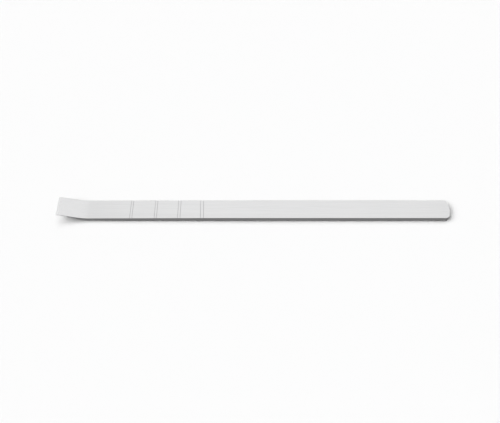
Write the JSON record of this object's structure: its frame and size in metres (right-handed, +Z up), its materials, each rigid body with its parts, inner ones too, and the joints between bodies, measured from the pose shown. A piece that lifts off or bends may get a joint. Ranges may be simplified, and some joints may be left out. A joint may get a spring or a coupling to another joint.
{
  "type": "osteotome",
  "caption": "Slim flat steel bone chisel, one piece, with an up-swept square blade, paired depth lines across its face and a rounded struck end.",
  "frame": {"origin": "on the surface that the flat back rests on, under the middle of the tool's length and width", "axes": "+X from the cutting edge to the struck end, +Y across the bar, +Z up out of the marked face"},
  "size_m": [0.165, 0.0088, 0.0052],
  "materials": {
    "satin_steel": "satin stainless steel, finely brushed along the bar, with bright honed facets at the cutting edge"
  },
  "bodies": {
    "root": {"osteotome": "satin_steel"}
  },
  "joints": []
}
